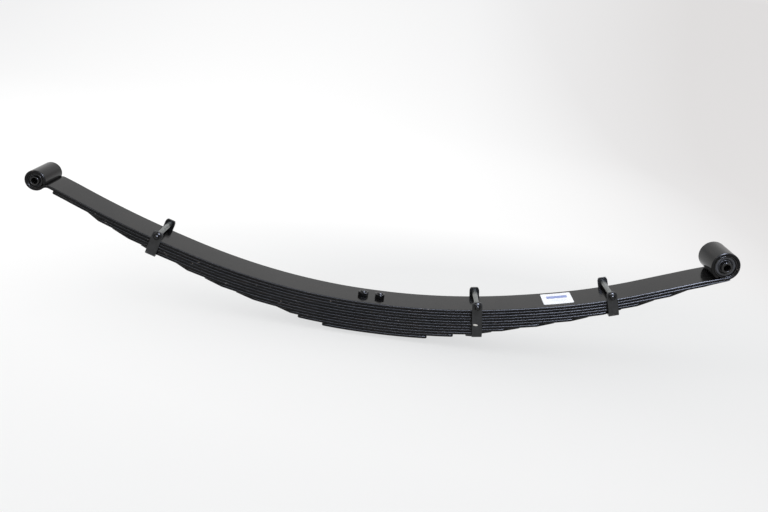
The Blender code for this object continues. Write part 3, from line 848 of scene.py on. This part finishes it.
def build_bushing(name, radii, steel, rubber):
    """Shell, rubber and inner sleeve of one eye."""
    shell_out, shell_in, rubber_out, rubber_in, sleeve_out, sleeve_in = radii
    low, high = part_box(f"{name}_bush_shell")
    middle = (low + high) / 2
    place = Matrix.Translation((middle.x, 0.0, middle.z)) @ Matrix.Rotation(math.radians(-90), 4, "X")

    bm = turned(tube_outline(shell_in, shell_out, SHELL_HALF, SHELL_ROUND))
    bm.transform(place)
    piece(f"{name}_shell", bm, steel, f"{name}_bush_shell")

    width = rubber_out - rubber_in
    half, deep = RUBBER_HALF, RUBBER_HALF - RUBBER_GROOVE
    end = [
        (rubber_out, half - 1.2 * MM), (rubber_out - 0.12 * width, half), (rubber_in + 0.46 * width, half),
        (rubber_in + 0.30 * width, half - 0.5 * RUBBER_GROOVE), (rubber_in + 0.20 * width, deep),
        (rubber_in + 0.06 * width, deep), (rubber_in, deep + 0.5 * MM),
    ]
    bm = turned(rounded(end + [(r, -level) for r, level in reversed(end)], RUBBER_ROUND))
    bm.transform(place)
    piece(f"{name}_rubber", bm, rubber, f"{name}_bush_rubber")

    bm = turned(tube_outline(sleeve_in, sleeve_out, SLEEVE_HALF[name], SLEEVE_ROUND))
    bm.transform(place)
    piece(f"{name}_sleeve_piece", bm, steel, f"{name}_bush_sleeve", f"{name}_sleeve")


def build_label(stock):
    """A plain sticker with rounded corners on the main leaf between the two front clips."""
    rings = []
    for i in range(LABEL_STEPS + 1):
        along = LABEL_LENGTH * i / LABEL_STEPS
        from_end = min(along, LABEL_LENGTH - along)
        short = max(0.0, LABEL_CORNER - from_end)
        inset = LABEL_CORNER - math.sqrt(LABEL_CORNER ** 2 - short ** 2)
        half = LABEL_W / 2 - inset
        place = curve_frame(1, LABEL_FROM + along)
        low = at_depth(place, -0.1 * MM)
        high = at_depth(place, -LABEL_LIFT - LABEL_T)
        ring = []
        for y, (x, z) in ((-half, low), (half, low), (half, high), (-half, high)):
            ring.append((x, LABEL_Y + y, z))
        rings.append(ring)
    piece("sticker", loft(rings), stock, "label")


# ---------------------------------------------------------------- materials

class Look:
    """A Principled material and short ways to add procedural nodes to it."""

    def __init__(self, name, **values):
        self.mat = bpy.data.materials.new(name)
        self.mat.use_nodes = True
        self.tree = self.mat.node_tree
        self.shader = self.tree.nodes["Principled BSDF"]
        for key, value in values.items():
            self.shader.inputs[key.replace("_", " ")].default_value = value
        self.coords = self.tree.nodes.new("ShaderNodeTexCoord").outputs["Object"]

    def join(self, source, target):
        self.tree.links.new(source, target)

    def stretched(self, scale):
        """Object coordinates in metres, scaled by axis."""
        node = self.tree.nodes.new("ShaderNodeMapping")
        node.inputs["Scale"].default_value = scale
        self.join(self.coords, node.inputs["Vector"])
        return node.outputs["Vector"]

    def noise(self, scale, detail=4.0, rough=0.55, vector=None):
        """Noise value from 0 to 1."""
        node = self.tree.nodes.new("ShaderNodeTexNoise")
        node.inputs["Scale"].default_value = scale
        node.inputs["Detail"].default_value = detail
        node.inputs["Roughness"].default_value = rough
        self.join(vector or self.coords, node.inputs["Vector"])
        return node.outputs["Fac"]

    def spread(self, value, low, high, new_low=0.0, new_high=1.0):
        """Map a range of a value on to another, clamped."""
        node = self.tree.nodes.new("ShaderNodeMapRange")
        for key, number in (("From Min", low), ("From Max", high), ("To Min", new_low), ("To Max", new_high)):
            node.inputs[key].default_value = number
        self.join(value, node.inputs["Value"])
        return node.outputs["Result"]

    def calc(self, operation, a, b=0.0):
        """One step of arithmetic on values or numbers."""
        node = self.tree.nodes.new("ShaderNodeMath")
        node.operation = operation
        for slot, value in zip(node.inputs, (a, b)):
            if isinstance(value, (int, float)):
                slot.default_value = value
            else:
                self.join(value, slot)
        return node.outputs["Value"]

    def axis(self, name, vector=None):
        """One coordinate."""
        node = self.tree.nodes.new("ShaderNodeSeparateXYZ")
        self.join(vector or self.coords, node.inputs["Vector"])
        return node.outputs[name]

    def near(self, place, reach):
        """One at a place, falling to zero at a reach from it along each axis."""
        node = self.tree.nodes.new("ShaderNodeMapping")
        node.vector_type = "TEXTURE"
        node.inputs["Location"].default_value = place
        node.inputs["Scale"].default_value = reach
        self.join(self.coords, node.inputs["Vector"])
        length = self.tree.nodes.new("ShaderNodeVectorMath")
        length.operation = "LENGTH"
        self.join(node.outputs["Vector"], length.inputs[0])
        return self.spread(length.outputs["Value"], 1.0, 0.4)

    def blend(self, share, a, b):
        """Mix of two colours, each a colour or a socket."""
        node = self.tree.nodes.new("ShaderNodeMix")
        node.data_type = "RGBA"
        self.join(share, node.inputs["Factor"])
        for slot, value in ((node.inputs["A"], a), (node.inputs["B"], b)):
            self.colour_into(slot, value)
        return node.outputs["Result"]

    def colour_into(self, slot, value):
        if isinstance(value, tuple):
            slot.default_value = (*value, 1.0)
        else:
            self.join(value, slot)

    def paint(self, key, value):
        self.colour_into(self.shader.inputs[key], value)

    def bumps(self, *layers):
        """Chain of bumps from (height, distance in metres, strength) layers."""
        last = None
        for height, distance, strength in layers:
            node = self.tree.nodes.new("ShaderNodeBump")
            node.inputs["Distance"].default_value = distance
            node.inputs["Strength"].default_value = strength
            self.join(height, node.inputs["Height"])
            if last:
                self.join(last, node.inputs["Normal"])
            last = node.outputs["Normal"]
        self.join(last, self.shader.inputs["Normal"])


def leaf_paint():
    """Glossy black dip paint over rolled bar: faint long streaks, orange peel, duller and chipped edges."""
    look = Look("leaf_enamel", IOR=1.5)
    look.shader.inputs["Specular IOR Level"].default_value = ENAMEL_GLOSS
    streaks = look.noise(9.0, 6.0, 0.6, look.stretched((1.0, 7.0, 7.0)))
    patches = look.noise(14.0, 5.0, 0.6)
    dust = look.spread(look.calc("MULTIPLY", streaks, patches), 0.18, 0.42)
    enamel = look.blend(dust, *ENAMEL)
    warm = look.spread(look.noise(22.0, 4.0, 0.65, look.stretched((1.0, 3.0, 6.0))), 0.56, 0.72)
    enamel = look.blend(warm, enamel, WARM_ENAMEL)
    edge = look.spread(look.calc("ABSOLUTE", look.axis("Y")), LEAF_W / 2 - 2.6 * MM, LEAF_W / 2 - 1.0 * MM)
    specks = look.spread(look.noise(210.0, 3.0, 0.6, look.stretched((0.5, 1.0, 1.0))), 0.67, 0.71)
    rubbed = look.near((RUBBED_X, -LEAF_W / 2, curve_frame(1, RUBBED_X)[1]), RUBBED_REACH)
    wear = look.calc("ADD", look.noise(120.0, 4.0, 0.7), look.calc("MULTIPLY", rubbed, 0.30))
    worn = look.spread(wear, 0.80, 0.86)
    chips = look.calc("MAXIMUM", look.calc("MULTIPLY", edge, specks), look.calc("MULTIPLY", rubbed, worn))
    look.paint("Base Color", look.blend(chips, enamel, CHIPPED))
    rough = look.spread(look.calc("ADD", streaks, look.noise(60.0, 3.0)), 0.75, 1.3, 0.10, 0.21)
    rough = look.calc("MAXIMUM", rough, look.calc("MULTIPLY", edge, 0.33))
    look.paint("Roughness", look.calc("MAXIMUM", rough, look.calc("MULTIPLY", chips, 0.5)))
    peel = look.noise(420.0, 2.0, 0.5)
    waves = look.noise(38.0, 3.0, 0.5, look.stretched((0.7, 1.0, 1.0)))
    look.bumps((waves, 0.3 * MM, 0.015), (peel, 0.05 * MM, 0.03), (chips, -0.15 * MM, 0.3))
    return look.mat


def strap_paint():
    """Satin black paint on hot bent strap: mottled skin, rubbed specks, one bare place on the middle clip."""
    look = Look("strap_enamel", IOR=1.5)
    look.shader.inputs["Specular IOR Level"].default_value = SATIN_GLOSS
    mottle = look.noise(120.0, 5.0, 0.65)
    clouds = look.noise(45.0, 4.0, 0.6)
    share = look.spread(look.calc("MULTIPLY", mottle, clouds), 0.14, 0.40)
    enamel = look.blend(share, *SATIN)
    specks = look.spread(look.noise(260.0, 3.0, 0.6), 0.70, 0.74)
    low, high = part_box("clip_mid_strap")
    x = (low.x + high.x) / 2
    bare = look.near((x - MM, low.y, curve_frame(1, x)[1] - BARE_DROP), BARE_REACH)
    bare = look.calc("ADD", bare, look.calc("MULTIPLY", look.noise(300.0, 4.0, 0.7), 0.5))
    enamel = look.blend(specks, enamel, SCUFFED)
    look.paint("Base Color", look.blend(look.spread(bare, 0.55, 0.75), enamel, BARE_STEEL))
    look.paint("Roughness", look.spread(clouds, 0.3, 0.7, 0.27, 0.45))
    look.bumps((look.noise(90.0, 4.0, 0.6), 0.35 * MM, 0.35), (look.noise(700.0, 2.0), 0.08 * MM, 0.3))
    return look.mat


def black_oxide():
    """Black oxide on forged and machined fasteners."""
    look = Look("black_oxide", IOR=1.45)
    look.shader.inputs["Specular IOR Level"].default_value = OXIDE_GLOSS
    tone = look.noise(240.0, 4.0, 0.6)
    look.paint("Base Color", look.blend(look.spread(tone, 0.35, 0.7), *OXIDE))
    look.paint("Roughness", look.spread(look.noise(150.0, 3.0), 0.3, 0.7, 0.20, 0.36))
    look.bumps((look.noise(900.0, 3.0, 0.6), 0.06 * MM, 0.3), (tone, 0.1 * MM, 0.2))
    return look.mat


def dipped_steel():
    """Bushing steel that went through the black dip with the spring, thin and uneven on its lips."""
    look = Look("dipped_steel", IOR=1.5)
    look.shader.inputs["Specular IOR Level"].default_value = DIPPED_GLOSS
    clouds = look.noise(110.0, 4.0, 0.6)
    thin = look.spread(look.calc("MULTIPLY", clouds, look.noise(320.0, 4.0, 0.65)), 0.24, 0.40)
    look.paint("Base Color", look.blend(thin, *DIPPED))
    look.paint("Roughness", look.spread(clouds, 0.3, 0.7, 0.16, 0.34))
    look.bumps((look.noise(600.0, 3.0, 0.6), 0.04 * MM, 0.2), (clouds, 0.1 * MM, 0.1))
    return look.mat


def spacer_zinc():
    """Dull zinc plate with drawn lines along Y and dark specks."""
    look = Look("spacer_zinc", Metallic=0.85)
    drawn = look.noise(900.0, 4.0, 0.6, look.stretched((1.0, 0.03, 1.0)))
    clouds = look.noise(130.0, 4.0, 0.6)
    plate = look.blend(look.spread(look.calc("MULTIPLY", drawn, clouds), 0.12, 0.40), *ZINC)
    specks = look.spread(look.noise(380.0, 3.0, 0.65), 0.64, 0.70)
    look.paint("Base Color", look.blend(specks, plate, tuple(0.3 * c for c in ZINC[0])))
    look.paint("Roughness", look.spread(clouds, 0.3, 0.7, 0.24, 0.40))
    look.bumps((drawn, 0.05 * MM, 0.5), (clouds, 0.12 * MM, 0.2))
    return look.mat


def bush_rubber():
    """Moulded black rubber with a slight bloom."""
    look = Look("moulded_rubber", IOR=1.52)
    bloom = look.spread(look.noise(160.0, 4.0, 0.6), 0.4, 0.75)
    look.paint("Base Color", look.blend(bloom, *RUBBER))
    look.paint("Roughness", look.spread(look.noise(90.0, 3.0), 0.3, 0.7, 0.42, 0.62))
    look.bumps((look.noise(1100.0, 3.0, 0.6), 0.05 * MM, 0.5), (look.noise(150.0, 2.0), 0.2 * MM, 0.3))
    return look.mat


def label_stock():
    """White sticker with a plain blue band and two pale lines."""
    low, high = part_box("label")
    look = Look("sticker_print", Roughness=0.35)
    x = look.spread(look.axis("X"), low.x, high.x)
    y = look.spread(look.axis("Y"), low.y, high.y)

    def bar(x0, x1, y0, y1):
        soft = 0.012
        sides = look.calc("MULTIPLY", look.spread(x, x0, x0 + soft), look.spread(x, x1, x1 - soft))
        ends = look.calc("MULTIPLY", look.spread(y, y0, y0 + soft), look.spread(y, y1, y1 - soft))
        return look.calc("MULTIPLY", sides, ends)

    fibre = look.noise(500.0, 3.0, 0.6)
    sheet = look.blend(fibre, *STICKER)
    pale = look.calc("MAXIMUM", bar(0.22, 0.80, 0.30, 0.36), bar(0.30, 0.72, 0.17, 0.22))
    printed = look.blend(look.calc("MULTIPLY", pale, 0.4), sheet, STICKER_LINES)
    look.paint("Base Color", look.blend(bar(0.16, 0.86, 0.52, 0.76), printed, STICKER_BAND))
    look.bumps((fibre, 0.05 * MM, 0.3), (look.noise(60.0, 2.0), 0.3 * MM, 0.2))
    return look.mat


# ---------------------------------------------------------------- stage

def build_sweep(ground):
    """A pale sheet that runs level under the spring and curves up behind it, softly lit from within."""
    profile = [(-FLOOR_FRONT, ground), (FLOOR_BACK, ground)]
    for i in range(1, SWEEP_STEPS + 1):
        a = math.radians(90 * i / SWEEP_STEPS)
        profile.append((FLOOR_BACK + SWEEP_R * math.sin(a), ground + SWEEP_R * (1 - math.cos(a))))
    profile.append((FLOOR_BACK + SWEEP_R, WALL_TOP))
    corners = [(x, y, z) for y, z in profile for x in (-FLOOR_WIDTH, FLOOR_WIDTH)]
    faces = [(2 * i, 2 * i + 1, 2 * i + 3, 2 * i + 2) for i in range(len(profile) - 1)]
    mesh = bpy.data.meshes.new("sweep")
    mesh.from_pydata(corners, [], faces)
    mesh.shade_smooth()
    look = Look("sweep_paper", Roughness=0.9)
    look.shader.inputs["Specular IOR Level"].default_value = 0.0
    look.paint("Base Color", look.blend(look.noise(3.0), *SHEET_PAPER))
    right = look.spread(look.axis("X"), *RIGHT_SPAN)
    front = look.spread(look.axis("Y"), *FRONT_SPAN)
    above = look.spread(look.axis("Z"), *ABOVE_SPAN)
    middle = look.near(MIDDLE_AT, MIDDLE_REACH)
    # painted shadow: the sheet glows less under the spring instead of the spring casting it
    shade = look.near(SHADE_AT, SHADE_REACH)
    sheet = look.blend(right, SHEET_GLOW, RIGHT_GLOW)
    sheet = look.blend(middle, sheet, MIDDLE_GLOW)
    sheet = look.blend(front, sheet, FRONT_GLOW)
    sheet = look.blend(shade, sheet, SHADE_GLOW)
    look.paint("Emission Color", look.blend(above, sheet, ABOVE_GLOW))
    look.shader.inputs["Emission Strength"].default_value = 1.0
    mesh.materials.append(look.mat)
    sweep = bpy.data.objects.new("sweep", mesh)
    bpy.context.scene.collection.objects.link(sweep)


def build_world():
    """Even soft surroundings, brightest overhead."""
    world = bpy.data.worlds.new("studio")
    bpy.context.scene.world = world
    world.use_nodes = True
    tree = world.node_tree
    back = tree.nodes["Background"]
    coords = tree.nodes.new("ShaderNodeTexCoord")
    split = tree.nodes.new("ShaderNodeSeparateXYZ")
    tree.links.new(coords.outputs["Generated"], split.inputs["Vector"])
    height = tree.nodes.new("ShaderNodeMapRange")
    height.inputs["From Min"].default_value = WORLD_FROM
    height.inputs["To Min"].default_value = WORLD_LOW
    height.inputs["To Max"].default_value = WORLD_HIGH
    tree.links.new(split.outputs["Z"], height.inputs["Value"])
    tree.links.new(height.outputs["Result"], back.inputs["Color"])


def area_light(name, place, aim, size, power, colour, matt):
    """A rectangular soft light, which may show in glossy surfaces only."""
    data = bpy.data.lights.new(name, "AREA")
    data.shape = "RECTANGLE"
    data.size, data.size_y = size
    data.energy = power
    data.color = colour
    ob = bpy.data.objects.new(name, data)
    ob.location = place
    ob.rotation_euler = (Vector(aim) - Vector(place)).to_track_quat("-Z", "Y").to_euler()
    ob.visible_diffuse = matt
    bpy.context.scene.collection.objects.link(ob)


def build_lights():
    """A soft light from the left, a cool strip over the right-hand half, and a small glint on the left."""
    for name, values in LIGHTS.items():
        area_light(name, *values)


def build_camera():
    """The camera at the reference viewing angle."""
    data = bpy.data.cameras.new("camera")
    data.lens = CAMERA_LENS
    data.sensor_width = SENSOR_W
    data.clip_end = VIEW_END
    data.shift_x, data.shift_y = CAMERA_SHIFT
    ob = bpy.data.objects.new("camera", data)
    ob.location = CAMERA_PLACE
    look = (CAMERA_AIM - CAMERA_PLACE).to_track_quat("-Z", "Y").to_matrix()
    roll = Matrix.Rotation(math.radians(CAMERA_ROLL_DEG), 3, "Z")
    ob.rotation_euler = (look @ roll).to_euler()
    bpy.context.scene.collection.objects.link(ob)
    bpy.context.scene.camera = ob


def main():
    """Camera, materials, the spring's pieces, and the studio round it."""
    build_camera()
    enamel = leaf_paint()
    strap = strap_paint()
    oxide = black_oxide()
    spacer = spacer_zinc()
    dipped = dipped_steel()
    build_main_leaf(enamel)
    build_wrapper_leaf(enamel)
    build_graduated_leaves(enamel)
    build_centre_bolts(oxide)
    build_clips(strap, oxide, spacer)
    rubber = bush_rubber()
    build_bushing("front", FRONT_BUSH, dipped, rubber)
    build_bushing("rear", REAR_BUSH, dipped, rubber)
    build_label(label_stock())
    build_sweep(cad_bounds[0].z)
    build_world()
    build_lights()
    bpy.context.scene.view_settings.view_transform = "Standard"


main()
